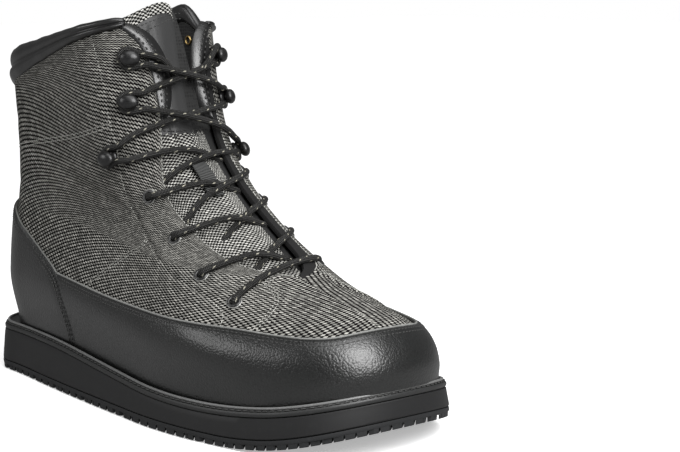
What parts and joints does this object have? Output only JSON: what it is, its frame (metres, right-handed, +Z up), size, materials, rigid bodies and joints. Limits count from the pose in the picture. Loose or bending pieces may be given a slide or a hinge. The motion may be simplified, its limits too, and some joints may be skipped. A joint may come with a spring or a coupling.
{
  "type": "wading boot",
  "caption": "Lace-up wading boot for the right foot, with a padded collar, a rubber-look rand, a thick treaded sole and drain holes in the inner side.",
  "frame": {"origin": "the middle of the bounding box's bottom face, on the floor under the sole", "axes": "+X toward the toe, +Y toward the inner side of the foot, +Z up"},
  "size_m": [0.3322, 0.13, 0.2267],
  "materials": {
    "sole_rubber": "matte",
    "midsole_foam": "matte",
    "welt_rubber": "satin",
    "upper_fabric": "woven",
    "black_leather": "semi-gloss, pebbled",
    "collar_leather": "satin, padded",
    "tongue_fabric": "woven",
    "footbed_foam": "matte",
    "webbing": "woven",
    "lace_cord": "braided",
    "eyelet_metal": "satin black",
    "drain_metal": "satin"
  },
  "bodies": {
    "root": {"outsole": "sole_rubber", "midsole": "midsole_foam", "welt": "welt_rubber", "insole": "footbed_foam", "upper": "upper_fabric", "rand": "black_leather", "heel_counter": "black_leather", "collar": "collar_leather", "tongue": "tongue_fabric", "lace_keeper": "webbing", "pull_loop": "webbing", "lace_bar": "lace_cord", "lace_cross_1": "lace_cord", "lace_cross_2": "lace_cord", "lace_cross_3": "lace_cord", "lace_cross_4": "lace_cord", "lace_cross_5": "lace_cord", "lace_cross_6": "lace_cord", "eyelet_outer_1": "eyelet_metal", "eyelet_outer_2": "eyelet_metal", "eyelet_outer_3": "eyelet_metal", "eyelet_outer_4": "eyelet_metal", "hook_outer_1": "eyelet_metal", "hook_outer_2": "eyelet_metal", "hook_outer_3": "eyelet_metal", "eyelet_inner_1": "eyelet_metal", "eyelet_inner_2": "eyelet_metal", "eyelet_inner_3": "eyelet_metal", "eyelet_inner_4": "eyelet_metal", "hook_inner_1": "eyelet_metal", "hook_inner_2": "eyelet_metal", "hook_inner_3": "eyelet_metal", "drain_1": "drain_metal", "drain_2": "drain_metal", "drain_3": "drain_metal", "drain_4": "drain_metal", "drain_5": "drain_metal", "drain_6": "drain_metal", "drain_7": "drain_metal", "drain_8": "drain_metal"}
  },
  "joints": []
}
